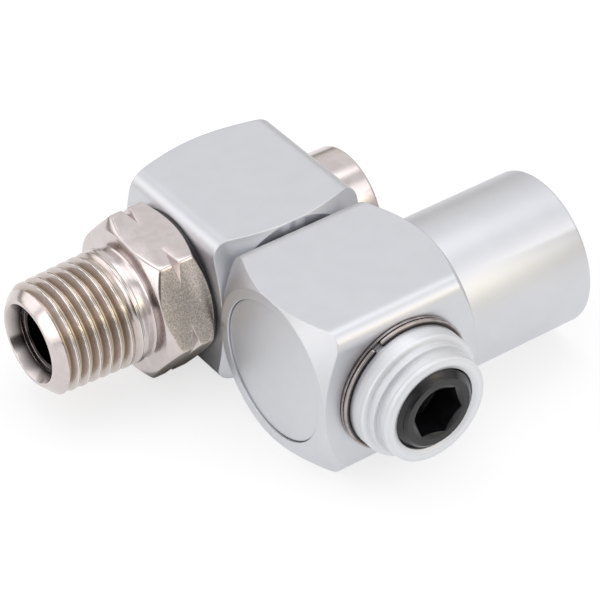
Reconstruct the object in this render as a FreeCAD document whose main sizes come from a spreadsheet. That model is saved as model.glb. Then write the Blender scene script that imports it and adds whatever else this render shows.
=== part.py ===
"""Two-axis swivel connector: an outlet block, an inlet block turning on a spindle, and a hollow cross pin.

Millimetres. +X leaves the mouth of the outlet port, whose centre is the origin. +Y runs from the outlet
block to the inlet block along the swivel axis. The cross pin lies along X through the inlet block.
"""
import FreeCAD, Part
import os
import re

import Sketcher

# Driving sizes: name, value in millimetres or degrees, meaning.
SIZES = [
    # The two square bars and the gap between them
    ("bar_width", "19.0", "square bars, across the flats"),
    ("bar_edge_round", "2.0", "round along the long edges of both bars"),
    ("block_gap", "0.4", "between the two blocks, filled by the thrust washer"),
    # Outlet block
    ("outlet_length", "20.0", "square part of the outlet block, along X"),
    ("outlet_bevel_angle", "33.0", "slope of the turned bevel on the outlet block's ends"),
    ("tube_radius", "9.0", "outside of the outlet tube"),
    ("tube_length", "16.3", "outlet tube from the block to its mouth"),
    ("tube_mouth_round", "0.3", "round on the tube's outer lip"),
    ("port_thread_radius", "6.5785", "female G 1/4 thread, outside of the thread"),
    ("port_thread_depth", "13.0", "female thread from the mouth"),
    ("port_drill_angle", "30.0", "slope of the floor of the threaded bore"),
    ("port_lead_in", "0.5", "bevel at the mouth of the threaded bore"),
    ("outlet_passage_radius", "4.0", "passage from the swivel bore to the threaded bore"),
    # End disc
    ("disc_recess_radius", "8.25", "recess in the outlet block's closed end"),
    ("disc_recess_depth", "1.0", "depth of that recess"),
    ("disc_thickness", "0.8", "disc pressed into the recess"),
    ("disc_edge_round", "0.15", "round on the disc's front edge"),
    # Inlet block
    ("inlet_length", "18.9", "square part of the inlet block, along Y"),
    ("pin_from_end", "9.35", "axis of the cross pin from the inlet block's far end"),
    ("inlet_bevel_angle", "25.0", "slope of the turned bevel on the inlet block's ends"),
    ("inlet_passage_radius", "3.0", "passage from the screw's seat to the pin's bore"),
    # Spindle of the inlet block, in the outlet block's cross bore
    ("spindle_radius", "7.45", "running surface of the spindle"),
    ("running_clearance", "0.05", "between a shaft and its bore, on the radius"),
    ("face_clearance", "0.03", "between the faces of a washer and its neighbours"),
    ("seal_clearance", "0.03", "round a seal in its groove"),
    ("collar_length", "2.32", "full-size end of the spindle outside the snap ring"),
    ("collar_round", "0.4", "round on the collar's outer edge"),
    ("neck_radius", "6.8", "step of the knob after the collar"),
    ("neck_length", "0.9", "that step, along the axis"),
    ("waist_radius", "6.2", "shallow waist of the knob"),
    ("waist_length", "1.2", "waist, along the axis"),
    ("flange_radius", "6.4", "end flange of the knob"),
    ("flange_length", "0.59", "end flange, along the axis"),
    ("flange_round", "0.15", "round on the end flange"),
    ("flow_groove_radius", "6.45", "floor of the spindle's flow groove"),
    ("flow_groove_width", "6.0", "flow groove along the axis"),
    ("flow_port_radius", "2.5", "radial ports in the spindle's flow groove"),
    ("chamber_radius", "4.15", "bore of the spindle round the screw's nose"),
    ("seat_gap", "0.1", "between the closed needle and its seat, along the axis"),
    ("screw_bore_lead_in", "0.45", "bevel at the mouth of the screw's bore"),
    # Seals of the spindle
    ("seal_wall", "2.4", "from a seal groove to the end of the bore it seals"),
    ("seal_groove_width", "2.4", "a seal groove along its axis"),
    ("spindle_seal_radius", "6.1", "floor of the spindle's seal grooves"),
    ("backup_width", "0.8", "backup ring along its axis"),
    # Washers and snap ring of the swivel
    ("thrust_washer_radius", "8.0", "outside of the thrust washer between the blocks"),
    ("ring_washer_gap", "0.1", "between the outlet block and the steel washer under the snap ring"),
    ("ring_washer_radius", "8.0", "outside of that washer"),
    ("ring_washer_thickness", "0.25", "that washer's thickness"),
    ("snap_groove_radius", "6.95", "floor of the snap ring's groove"),
    ("snap_ring_radius", "8.0", "outside of the snap ring"),
    ("snap_ring_thickness", "0.5", "snap ring along the axis"),
    ("snap_ring_opening", "10.0", "opening of the snap ring"),
    ("snap_ring_turn", "118.0", "middle of that opening, from +X towards +Z"),
    # Flow screw
    ("screw_radius", "4.9", "outside of the flow screw's thread"),
    ("screw_proud", "0.51", "screw's face beyond the knob's face, fully open"),
    ("screw_face_radius", "4.1", "flat face of the screw"),
    ("screw_bevel_length", "0.75", "bevel from the face to the thread"),
    ("screw_thread_length", "4.55", "screw's thread with its bevel"),
    ("screw_travel", "3.0", "from fully open to closed"),
    ("travel_room", "0.2", "left of the screw's bore when the screw is closed"),
    ("screw_nose_length", "6.2", "plain nose of the screw in the chamber"),
    ("screw_seal_radius", "3.1", "floor of the seal groove on the nose"),
    ("screw_seal_width", "1.8", "that groove along the axis"),
    ("screw_seal_step", "0.6", "nose beyond that groove"),
    ("stem_radius", "2.2", "stem between the nose and the head"),
    ("stem_length", "4.0", "that stem along the axis"),
    ("needle_radius", "3.6", "head of the screw's needle"),
    ("needle_land", "0.8", "straight part of that head"),
    ("needle_cone_length", "2.4", "cone of the needle, at 45 degrees"),
    ("screw_socket_flats", "5.5", "hexagon socket of the screw"),
    ("screw_socket_depth", "4.0", "depth of that socket"),
    ("screw_socket_turn", "12.9", "turn of that socket about the axis"),
    # Cross pin
    ("pin_radius", "5.5", "running surface of the cross pin"),
    ("pin_groove_radius", "4.6", "floor of the pin's flow groove"),
    ("pin_groove_width", "6.0", "that groove along the axis"),
    ("pin_port_radius", "2.0", "radial ports in that groove"),
    ("pin_bore_radius", "3.25", "bore of the pin"),
    ("pin_bore_reach", "4.0", "bore beyond the middle of the block"),
    ("pin_seal_radius", "4.13", "floor of the pin's seal grooves"),
    ("pin_washer_thickness", "0.3", "washers at both ends of the pin"),
    ("front_washer_radius", "8.4", "washer between the block and the adaptor"),
    ("rear_washer_radius", "6.6", "washer under the pin's head"),
    ("pin_head_radius", "6.75", "round head of the pin"),
    ("pin_head_length", "4.44", "that head along the axis"),
    ("pin_head_round", "0.4", "round on the head's edge"),
    ("pin_socket_flats", "6.0", "hexagon socket in the head"),
    ("pin_socket_depth", "3.0", "depth of that socket"),
    ("stub_radius", "4.9", "end of the pin held in the adaptor"),
    ("stub_length", "4.34", "that end along the axis"),
    # Male adaptor
    ("hex_flats", "17.0", "hexagon of the adaptor, across the flats"),
    ("hex_length", "6.19", "that hexagon along the axis"),
    ("hex_turn", "39.0", "turn of the hexagon about the axis, from a corner upwards"),
    ("hex_corner_round", "0.5", "round along the hexagon's corners"),
    ("hex_back_radius", "8.45", "rim of the hexagon's face towards the block"),
    ("hex_front_radius", "8.4", "rim of the hexagon's front face"),
    ("hex_bevel_angle", "37.0", "slope of the bevels on the hexagon"),
    ("hex_groove_place", "3.14", "marking groove round the hexagon, from its back face"),
    ("hex_groove_radius", "8.75", "floor of that groove, which cuts the corners only"),
    ("relief_radius", "6.35", "plain neck between the hexagon and the thread"),
    ("relief_length", "1.2", "that neck along the axis"),
    ("relief_root_round", "0.5", "round where the neck leaves the hexagon"),
    ("gauge_radius", "6.5785", "R 1/4 thread, outside of the thread at the gauge plane"),
    ("gauge_length", "6.0", "gauge plane from the small end"),
    ("thread_length", "9.65", "threaded stretch along the axis, bevel apart"),
    ("thread_taper", "16.0", "length over which the thread gains one in diameter"),
    ("thread_pitch", "1.337", "male thread, from crest to crest"),
    ("thread_depth", "0.856", "male thread, from crest to valley"),
    ("thread_flank_angle", "55.0", "between the thread's flanks"),
    ("thread_valley_width", "0.2", "floor of the thread's valley"),
    ("thread_runout", "0.8", "middle of the thread's valley stops before the neck"),
    ("thread_overcut", "0.1", "thread cutter's section above the crest"),
    ("tip_bevel_length", "1.0", "bevel at the small end"),
    ("tip_face_radius", "5.4", "end of that bevel"),
    ("lip_length", "0.35", "lip of the cone seat beyond the bevel"),
    ("lip_radius", "5.0", "outside of that lip"),
    ("seat_rim_radius", "4.65", "rim of the cone seat"),
    ("seat_floor_radius", "3.85", "floor of the cone seat"),
    ("seat_land_length", "0.5", "straight bore behind the cone seat"),
    ("adaptor_bore_radius", "3.3", "bore of the adaptor"),
    ("adaptor_seal_radius", "5.9", "recess for the adaptor's seal"),
    ("adaptor_seal_depth", "1.04", "depth of that recess"),
    ("adaptor_seal_thickness", "0.9", "section of the adaptor's seal"),
]

# Sizes that follow from the driving ones. The swivel's centre and the pin's centre are the local origins.
FOLLOWING = [
    ("bar_half", "bar_width / 2"),
    ("outlet_half", "outlet_length / 2"),
    ("mouth_place", "outlet_half + tube_length"),
    ("inlet_near", "bar_half + block_gap"),
    ("inlet_far", "inlet_near + inlet_length"),
    ("pin_place", "inlet_far - pin_from_end"),
    ("bevel_reach", "bar_width"),
    ("swivel_bore_radius", "spindle_radius + running_clearance"),
    ("pin_hole_radius", "pin_radius + running_clearance"),
    ("washer_hole_radius", "swivel_bore_radius + running_clearance"),
    ("ring_washer_start", "bar_half + ring_washer_gap"),
    ("snap_ring_start", "ring_washer_start + ring_washer_thickness + running_clearance"),
    ("snap_groove_start", "snap_ring_start - face_clearance"),
    ("snap_groove_end", "snap_ring_start + snap_ring_thickness + face_clearance"),
    ("collar_end", "snap_groove_end + collar_length"),
    ("neck_end", "collar_end + neck_length"),
    ("waist_end", "neck_end + waist_length"),
    ("knob_end", "waist_end + flange_length"),
    ("screw_bore_radius", "screw_radius + running_clearance"),
    ("seal_far", "bar_half - seal_wall"),
    ("seal_near", "seal_far - seal_groove_width"),
    ("spindle_cord", "(swivel_bore_radius - spindle_seal_radius) / 2 - seal_clearance"),
    ("pin_cord", "(pin_hole_radius - pin_seal_radius) / 2 - seal_clearance"),
    ("screw_cord", "(chamber_radius - screw_seal_radius) / 2 - seal_clearance"),
    ("screw_face_place", "knob_end + screw_proud"),
    ("screw_nose_place", "screw_face_place - screw_thread_length"),
    ("screw_bore_end", "screw_nose_place - screw_travel - travel_room"),
    ("screw_nose_radius", "chamber_radius - running_clearance"),
    ("screw_nose_end", "screw_nose_place - screw_nose_length"),
    ("screw_seal_far", "screw_nose_end + screw_seal_step"),
    ("screw_seal_near", "screw_seal_far + screw_seal_width"),
    ("needle_place", "screw_nose_end - stem_length"),
    ("needle_shoulder", "needle_place - needle_land"),
    ("needle_tip", "needle_shoulder - needle_cone_length"),
    ("seat_place", "screw_travel - needle_shoulder + needle_radius - inlet_passage_radius + seat_gap"),
    ("pin_washer_start", "bar_half + face_clearance"),
    ("pin_shoulder", "pin_washer_start + pin_washer_thickness + face_clearance"),
    ("pin_washer_hole", "pin_radius + 2 * running_clearance"),
    ("stub_end", "pin_shoulder + stub_length"),
    ("stub_hole_radius", "stub_radius + running_clearance"),
    ("stub_hole_end", "stub_end + 4 * running_clearance"),
    ("pin_head_end", "pin_shoulder + pin_head_length"),
    ("hex_end", "pin_shoulder + hex_length"),
    ("thread_start", "hex_end + relief_length"),
    ("thread_end", "thread_start + thread_length"),
    ("tip_bevel_end", "thread_end + tip_bevel_length"),
    ("tip_end", "tip_bevel_end + lip_length"),
    ("crest_at_start", "gauge_radius + (tip_end - thread_start - gauge_length) / (2 * thread_taper)"),
    ("crest_at_end", "gauge_radius + (tip_end - thread_end - gauge_length) / (2 * thread_taper)"),
    ("valley_place", "tip_end + thread_pitch"),
    ("valley_crest", "gauge_radius - (thread_pitch + gauge_length) / (2 * thread_taper)"),
    ("valley_half", "thread_valley_width / 2"),
    ("mouth_half", "valley_half + (thread_depth + thread_overcut) * tan(thread_flank_angle / 2)"),
    ("seat_floor_place", "tip_end - (seat_rim_radius - seat_floor_radius) * sqrt(3)"),
    ("seat_land_place", "seat_floor_place - seat_land_length"),
    ("adaptor_cord", "adaptor_seal_thickness / 2"),
    ("adaptor_seal_place", "pin_shoulder + adaptor_seal_depth / 2"),
]

NAMES = {row[0] for row in SIZES} | {row[0] for row in FOLLOWING}
PORT_COUNT = 4
EDGE_TOLERANCE = 1e-4
FULL_TURN = 360.0

document = FreeCAD.newDocument("swivel_connector")
sheet = document.addObject("Spreadsheet::Sheet", "sizes")
sub_parts = []


def fill_sheet():
    """Write the driving sizes as plain numbers and the following ones as formulas, each with its name."""
    for row, (name, number, meaning) in enumerate(SIZES, start=1):
        sheet.set(f"A{row}", meaning)
        sheet.set(f"B{row}", number)
        sheet.setAlias(f"B{row}", name)
    for row, (name, formula) in enumerate(FOLLOWING, start=len(SIZES) + 1):
        sheet.set(f"A{row}", "follows from the sizes above")
        sheet.set(f"B{row}", "=" + formula)
        sheet.setAlias(f"B{row}", name)
    document.recompute()


def number_of(formula):
    """Value of a formula of named sizes."""
    value = sheet.evalExpression(formula)
    return float(getattr(value, "Value", value))


def bound(formula):
    """The same formula with each named size read from the sheet."""
    return re.sub(r"[a-z][a-z_]+", lambda word: "sizes." + word[0] if word[0] in NAMES else word[0], formula)


def new_body(label):
    """A sub-part with its own label, which also names its file."""
    body = document.addObject("PartDesign::Body", label)
    body.Label = label
    sub_parts.append(body)
    return body


def place(sub_part, x="0", y="0", z="0", axis=(0, 0, 1), angle=0.0):
    """Turn a finished sub-part and bind the place of its local origin."""
    turn = FreeCAD.Rotation(FreeCAD.Vector(*axis), angle)
    sub_part.Placement = FreeCAD.Placement(FreeCAD.Vector(number_of(x), number_of(y), number_of(z)), turn)
    for letter, formula in (("x", x), ("y", y), ("z", z)):
        sub_part.setExpression(f"Placement.Base.{letter}", bound(formula))


def place_at_swivel(sub_part, along="0"):
    """Local origin on the swivel's centre line."""
    place(sub_part, "-mouth_place", along)


def place_at_pin(sub_part, along="0"):
    """Local origin on the cross pin's centre line."""
    place(sub_part, f"{along} - mouth_place", "pin_place")


def new_sketch(body, name, plane, offset="0"):
    """A sketch flat on one of the body's own planes, moved along the plane's normal."""
    sketch = body.newObject("Sketcher::SketchObject", name)
    planes = {item.Role: item for item in body.Origin.OriginFeatures}
    sketch.AttachmentSupport = [(planes[plane], "")]
    sketch.MapMode = "FlatFace"
    sketch.AttachmentOffset = FreeCAD.Placement(
        FreeCAD.Vector(0, 0, number_of(offset)), FreeCAD.Rotation())
    sketch.setExpression("AttachmentOffset.Base.z", bound(offset))
    return sketch


def draw_outline(sketch, corners):
    """Closed outline of straight lines whose corners are bound to two formulas each."""
    points = [FreeCAD.Vector(number_of(across), number_of(up), 0) for across, up in corners]
    for here, there in zip(points, points[1:] + points[:1]):
        sketch.addGeometry(Part.LineSegment(here, there), False)
    for index in range(len(corners)):
        sketch.addConstraint(Sketcher.Constraint("Coincident", index, 2, (index + 1) % len(corners), 1))
    for index, corner in enumerate(corners):
        for kind, formula in zip(("DistanceX", "DistanceY"), corner):
            rule = sketch.addConstraint(
                Sketcher.Constraint(kind, -1, 1, index, 1, number_of(formula)))
            sketch.setExpression(f"Constraints[{rule}]", bound(formula))


def draw_circle(sketch, across, up, radius):
    """Circle bound to the formulas of its centre and radius."""
    centre = FreeCAD.Vector(number_of(across), number_of(up), 0)
    sketch.addGeometry(Part.Circle(centre, FreeCAD.Vector(0, 0, 1), number_of(radius)), False)
    rules = [("DistanceX", (-1, 1, 0, 3), across), ("DistanceY", (-1, 1, 0, 3), up), ("Radius", (0,), radius)]
    for kind, where, formula in rules:
        rule = sketch.addConstraint(Sketcher.Constraint(kind, *where, number_of(formula)))
        sketch.setExpression(f"Constraints[{rule}]", bound(formula))


def checked(body, feature, removes):
    """Recompute, and make sure that the feature changed the body the way it should."""
    before = feature.BaseFeature.Shape.Volume if feature.BaseFeature else 0.0
    document.recompute()
    if not feature.isValid() or feature.Shape.isNull():
        raise ValueError(f"{body.Label}: {feature.Label} failed")
    change = feature.Shape.Volume - before
    if (change < 0) != removes or abs(change) < EDGE_TOLERANCE:
        raise ValueError(f"{body.Label}: {feature.Label} changed the volume by {change:.4f}")
    return feature


def turned(body, name, axis, outline, removes=False, sweep=None):
    """Revolve an outline of (along, radius) corners about the body's X or Y axis, or cut that shape away."""
    sketch = new_sketch(body, name + "_profile", "XY_Plane")
    draw_outline(sketch, outline if axis == "x" else [(radius, along) for along, radius in outline])
    feature = body.newObject("PartDesign::Groove" if removes else "PartDesign::Revolution", name)
    feature.Profile = sketch
    feature.ReferenceAxis = (sketch, ["H_Axis" if axis == "x" else "V_Axis"])
    feature.Angle = FULL_TURN
    if sweep:
        feature.Midplane = True
        feature.setExpression("Angle", bound(sweep))
    return checked(body, feature, removes)


def prism(body, name, plane, draw, low, high):
    """Pad a drawn section between two places along the plane's normal."""
    sketch = new_sketch(body, name + "_section", plane, low)
    draw(sketch)
    feature = body.newObject("PartDesign::Pad", name)
    feature.Profile = sketch
    feature.setExpression("Length", bound(f"{high} - ({low})"))
    return checked(body, feature, False)


def pocket(body, name, plane, draw, top, floor):
    """Cut a drawn section away from the top down to the floor, against the plane's normal."""
    sketch = new_sketch(body, name + "_section", plane, top)
    draw(sketch)
    feature = body.newObject("PartDesign::Pocket", name)
    feature.Profile = sketch
    feature.setExpression("Length", bound(f"{top} - ({floor})"))
    return checked(body, feature, True)


def repeated(body, name, feature, axis):
    """Repeat a cut evenly about one of its sketch's axes."""
    pattern = body.newObject("PartDesign::PolarPattern", name)
    pattern.Originals = [feature]
    pattern.Axis = (feature.Profile[0], [axis])
    pattern.Angle = FULL_TURN
    pattern.Occurrences = PORT_COUNT
    body.Tip = pattern
    document.recompute()
    if pattern.Shape.Volume >= feature.Shape.Volume - EDGE_TOLERANCE:
        raise ValueError(f"{body.Label}: {name} cuts nothing more")
    return pattern


def rounded(body, name, picks, radius):
    """Fillet the edges of the body's last shape that a test picks."""
    base = body.Tip
    chosen = [f"Edge{index}" for index, edge in enumerate(base.Shape.Edges, start=1) if picks(edge)]
    if not chosen:
        raise ValueError(f"{body.Label}: {name} finds no edge")
    feature = body.newObject("PartDesign::Fillet", name)
    feature.Base = (base, chosen)
    feature.setExpression("Radius", bound(radius))
    document.recompute()
    if not feature.isValid() or feature.Shape.isNull():
        raise ValueError(f"{body.Label}: {name} failed")
    return feature


def straight_along(axis):
    """Test for straight edges parallel to an axis."""
    def picks(edge):
        return isinstance(edge.Curve, Part.Line) and abs(abs(edge.Curve.Direction.dot(axis)) - 1) < EDGE_TOLERANCE
    return picks


def circle_at(axis, along, radius):
    """Test for round edges of one radius at one place along an axis."""
    place_along = number_of(along)
    size = number_of(radius)

    def picks(edge):
        if not isinstance(edge.Curve, Part.Circle):
            return False
        return (abs(edge.Curve.Radius - size) < EDGE_TOLERANCE
                and abs(edge.Curve.Center.dot(axis) - place_along) < EDGE_TOLERANCE)
    return picks


ALONG_X = FreeCAD.Vector(1, 0, 0)
ALONG_Y = FreeCAD.Vector(0, 1, 0)


def square_section(sketch):
    """Square of the bars' width, centred."""
    draw_outline(sketch, [("-bar_half", "-bar_half"), ("bar_half", "-bar_half"),
                          ("bar_half", "bar_half"), ("-bar_half", "bar_half")])


def hexagon_section(flats, turn):
    """Hexagon with the given width across its flats, turned about its middle."""
    def draw(sketch):
        corners = []
        for index in range(6):
            angle = f"({turn} + {60 * index})"
            corners.append((f"{flats} / sqrt(3) * cos({angle})", f"{flats} / sqrt(3) * sin({angle})"))
        draw_outline(sketch, corners)
    return draw


def bevel_end(body, name, axis, end, rim, angle, sign):
    """Turned bevel that starts from a rim on an end face and slopes away outside it."""
    depth = f"(bevel_reach - {rim}) * tan({angle})"
    turned(body, name, axis, [(end, rim), (end, "bevel_reach"), (f"{end} {sign} {depth}", "bevel_reach")], True)


def groove_outline(near, far, floor, outside):
    """Outline of a rectangular groove between two places."""
    return [(near, floor), (far, floor), (far, outside), (near, outside)]


def build_outlet_block():
    """Square bar with the cross bore of the swivel, the outlet tube and the recess of the end disc."""
    body = new_body("outlet_block")
    prism(body, "bar", "YZ_Plane", square_section, "-outlet_half", "outlet_half")
    rounded(body, "long_edges", straight_along(ALONG_X), "bar_edge_round")
    bevel_end(body, "closed_end_bevel", "x", "-outlet_half", "bar_half", "outlet_bevel_angle", "+")
    bevel_end(body, "tube_end_bevel", "x", "outlet_half", "bar_half", "outlet_bevel_angle", "-")
    turned(body, "tube", "x", [("outlet_half", "0"), ("mouth_place", "0"), ("mouth_place", "tube_radius"),
                               ("outlet_half", "tube_radius")])
    rounded(body, "tube_lip", circle_at(ALONG_X, "mouth_place", "tube_radius"), "tube_mouth_round")
    floor = "mouth_place - port_thread_depth"
    drill = f"{floor} - (port_thread_radius - outlet_passage_radius) * tan(port_drill_angle)"
    turned(body, "port_bore", "x",
           [("0", "0"), ("mouth_place", "0"), ("mouth_place", "port_thread_radius + port_lead_in"),
            ("mouth_place - port_lead_in", "port_thread_radius"), (floor, "port_thread_radius"),
            (drill, "outlet_passage_radius"), ("0", "outlet_passage_radius")], True)
    turned(body, "swivel_bore", "y",
           [("-bar_width", "0"), ("bar_width", "0"), ("bar_width", "swivel_bore_radius"),
            ("-bar_width", "swivel_bore_radius")], True)
    turned(body, "disc_recess", "x",
           [("-bar_width", "0"), ("disc_recess_depth - outlet_half", "0"),
            ("disc_recess_depth - outlet_half", "disc_recess_radius"), ("-bar_width", "disc_recess_radius")], True)
    place_at_swivel(body)


def build_end_disc():
    """Disc seated in the recess of the outlet block's closed end."""
    body = new_body("end_disc")
    floor = "disc_recess_depth - outlet_half"
    face = f"{floor} - disc_thickness"
    rim = "disc_recess_radius - running_clearance"
    turned(body, "disc", "x", [(face, "0"), (floor, "0"), (floor, rim), (face, rim)])
    rounded(body, "front_edge", circle_at(ALONG_X, face, rim), "disc_edge_round")
    place_at_swivel(body)


def build_inlet_block():
    """Square bar with the pin's bore and, in one piece with it, the hollow spindle that ends in the knob."""
    body = new_body("inlet_block")
    prism(body, "bar", "XZ_Plane", square_section, "-inlet_far", "-inlet_near")
    rounded(body, "long_edges", straight_along(ALONG_Y), "bar_edge_round")
    bevel_end(body, "near_bevel", "y", "inlet_near", "bar_half", "inlet_bevel_angle", "+")
    bevel_end(body, "far_bevel", "y", "inlet_far", "bar_half", "inlet_bevel_angle", "-")
    turned(body, "spindle", "y",
           [("inlet_near", "0"), ("inlet_near", "spindle_radius"),
            ("-snap_groove_start", "spindle_radius"), ("-snap_groove_start", "snap_groove_radius"),
            ("-snap_groove_end", "snap_groove_radius"), ("-snap_groove_end", "spindle_radius"),
            ("-collar_end", "spindle_radius"), ("-collar_end", "neck_radius"), ("-neck_end", "neck_radius"),
            ("-neck_end", "waist_radius"), ("-waist_end", "waist_radius"), ("-waist_end", "flange_radius"),
            ("-knob_end", "flange_radius"), ("-knob_end", "0")])
    rounded(body, "collar_edge", circle_at(ALONG_Y, "-collar_end", "spindle_radius"), "collar_round")
    rounded(body, "flange_edge", circle_at(ALONG_Y, "-knob_end", "flange_radius"), "flange_round")
    half_groove = "flow_groove_width / 2"
    turned(body, "flow_groove", "y",
           groove_outline(f"-{half_groove}", half_groove, "flow_groove_radius", "swivel_bore_radius"), True)
    for name, sign in (("inner_seal_groove", ""), ("outer_seal_groove", "-")):
        turned(body, name, "y",
               groove_outline(f"{sign}seal_near", f"{sign}seal_far", "spindle_seal_radius",
                              "swivel_bore_radius"), True)
    turned(body, "screw_bore", "y",
           [("-knob_end", "0"), ("-knob_end", "screw_bore_radius + screw_bore_lead_in"),
            ("screw_bore_lead_in / 2 - knob_end", "screw_bore_radius"), ("-screw_bore_end", "screw_bore_radius"),
            ("-screw_bore_end", "chamber_radius"), ("seat_place", "chamber_radius"),
            ("seat_place", "inlet_passage_radius"), ("pin_place", "inlet_passage_radius"), ("pin_place", "0")],
           True)
    port = pocket(body, "flow_port", "XY_Plane", lambda sketch: draw_circle(sketch, "0", "0", "flow_port_radius"),
                  "spindle_radius", "chamber_radius / 2")
    repeated(body, "flow_ports", port, "V_Axis")
    pin_bore = pocket(body, "pin_bore", "YZ_Plane",
                      lambda sketch: draw_circle(sketch, "pin_place", "0", "pin_hole_radius"),
                      "bar_width", "-bar_width")
    body.Tip = pin_bore
    place_at_swivel(body)


def build_ring(label, axis, near, far, hole, outside):
    """Flat ring with a rectangular section."""
    body = new_body(label)
    turned(body, "ring", axis, groove_outline(near, far, hole, outside))
    return body


def build_snap_ring():
    """Open ring in the spindle's snap groove."""
    body = new_body("pivot_snap_ring")
    near = "-snap_ring_start"
    far = "-snap_ring_start - snap_ring_thickness"
    turned(body, "open_ring", "y", groove_outline(near, far, "snap_groove_radius + running_clearance",
                                                  "snap_ring_radius"),
           sweep=f"{FULL_TURN} - snap_ring_opening")
    place(body, "-mouth_place", "0", "0", (0, 1, 0), FULL_TURN / 2 - number_of("snap_ring_turn"))
    body.setExpression("Placement.Rotation.Angle", bound(f"{FULL_TURN / 2} - snap_ring_turn"))


def build_seal(label, cord, middle, x, y, axis):
    """Round-section seal about an axis: middle is the radius of the cord's centre line."""
    seal = document.addObject("Part::Torus", label)
    seal.Label = label
    seal.setExpression("Radius1", bound(middle))
    seal.setExpression("Radius2", bound(cord))
    sub_parts.append(seal)
    turn_axis = (0, 1, 0) if axis == "x" else (1, 0, 0)
    place(seal, x, y, "0", turn_axis, FULL_TURN / 4)


def build_swivel_rings():
    """Washers, seals and backup rings round the spindle."""
    washer = build_ring("pivot_thrust_washer", "y", "bar_half + face_clearance", "inlet_near - face_clearance",
                        "washer_hole_radius", "thrust_washer_radius")
    place_at_swivel(washer)
    washer = build_ring("pivot_ring_washer", "y", "-ring_washer_start",
                        "-ring_washer_start - ring_washer_thickness", "washer_hole_radius", "ring_washer_radius")
    place_at_swivel(washer)
    for end, sign in (("inner", ""), ("outer", "-")):
        build_seal(f"pivot_{end}_o_ring", "spindle_cord", "spindle_seal_radius + seal_clearance + spindle_cord",
                   "-mouth_place", f"{sign}(seal_near + seal_clearance + spindle_cord)", "y")
        ring = build_ring(f"pivot_{end}_backup_ring", "y",
                          f"{sign}(seal_far - face_clearance - backup_width)",
                          f"{sign}(seal_far - face_clearance)", "spindle_seal_radius + seal_clearance",
                          "swivel_bore_radius - seal_clearance")
        place_at_swivel(ring)


def build_flow_screw():
    """Hexagon-socket screw, fully open, whose needle closes on the spindle's seat."""
    body = new_body("flow_screw")
    bevel_end_place = "screw_bevel_length - screw_face_place"
    turned(body, "screw", "y",
           [("-screw_face_place", "0"), ("-screw_face_place", "screw_face_radius"),
            (bevel_end_place, "screw_radius"), ("-screw_nose_place", "screw_radius"),
            ("-screw_nose_place", "screw_nose_radius"), ("-screw_seal_near", "screw_nose_radius"),
            ("-screw_seal_near", "screw_seal_radius"), ("-screw_seal_far", "screw_seal_radius"),
            ("-screw_seal_far", "screw_nose_radius"), ("-screw_nose_end", "screw_nose_radius"),
            ("-screw_nose_end", "stem_radius"), ("-needle_place", "stem_radius"), ("-needle_place", "needle_radius"),
            ("-needle_shoulder", "needle_radius"), ("-needle_tip", "needle_radius - needle_cone_length"),
            ("-needle_tip", "0")])
    pocket(body, "socket", "XZ_Plane", hexagon_section("screw_socket_flats", "-screw_socket_turn"),
           "screw_face_place", "screw_face_place - screw_socket_depth")
    place_at_swivel(body)
    build_seal("flow_screw_o_ring", "screw_cord", "screw_seal_radius + seal_clearance + screw_cord",
               "-mouth_place", "-(screw_seal_near + screw_seal_far) / 2", "y")


def build_swivel_pin():
    """Hollow cross pin with its flow groove, seal grooves, round head and the stub held in the adaptor."""
    body = new_body("swivel_pin")
    turned(body, "pin", "x",
           [("-stub_end", "0"), ("-stub_end", "stub_radius"), ("-pin_shoulder", "stub_radius"),
            ("-pin_shoulder", "pin_radius"), ("pin_shoulder", "pin_radius"), ("pin_shoulder", "pin_head_radius"),
            ("pin_head_end", "pin_head_radius"), ("pin_head_end", "0")])
    rounded(body, "head_edge", circle_at(ALONG_X, "pin_head_end", "pin_head_radius"), "pin_head_round")
    half_groove = "pin_groove_width / 2"
    turned(body, "flow_groove", "x",
           groove_outline(f"-{half_groove}", half_groove, "pin_groove_radius", "pin_hole_radius"), True)
    for name, sign in (("front_seal_groove", "-"), ("rear_seal_groove", "")):
        turned(body, name, "x",
               groove_outline(f"{sign}seal_near", f"{sign}seal_far", "pin_seal_radius", "pin_hole_radius"),
               True)
    turned(body, "bore", "x",
           [("-stub_end", "0"), ("-stub_end", "pin_bore_radius"), ("pin_bore_reach", "pin_bore_radius"),
            ("pin_bore_reach + pin_bore_radius * tan(port_drill_angle)", "0")], True)
    port = pocket(body, "flow_port", "XY_Plane", lambda sketch: draw_circle(sketch, "0", "0", "pin_port_radius"),
                  "pin_radius", "pin_bore_radius / 2")
    repeated(body, "flow_ports", port, "H_Axis")
    socket = pocket(body, "socket", "YZ_Plane", hexagon_section("pin_socket_flats", "0"), "pin_head_end",
                    "pin_head_end - pin_socket_depth")
    body.Tip = socket
    place_at_pin(body)


def build_pin_rings():
    """Washers, seals and backup rings round the cross pin, and the seal inside the adaptor."""
    for end, sign, outside in (("front", "-", "front_washer_radius"), ("rear", "", "rear_washer_radius")):
        washer = build_ring(f"pin_{end}_washer", "x", f"{sign}pin_washer_start",
                            f"{sign}(pin_washer_start + pin_washer_thickness)", "pin_washer_hole", outside)
        place_at_pin(washer)
        build_seal(f"pin_{end}_o_ring", "pin_cord", "pin_seal_radius + seal_clearance + pin_cord",
                   f"{sign}(seal_near + seal_clearance + pin_cord) - mouth_place", "pin_place", "x")
        ring = build_ring(f"pin_{end}_backup_ring", "x", f"{sign}(seal_far - face_clearance - backup_width)",
                          f"{sign}(seal_far - face_clearance)", "pin_seal_radius + seal_clearance",
                          "pin_hole_radius - seal_clearance")
        place_at_pin(ring)
    build_seal("adaptor_o_ring", "adaptor_cord", "(stub_radius + adaptor_seal_radius) / 2",
               "-adaptor_seal_place - mouth_place", "pin_place", "x")


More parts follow.
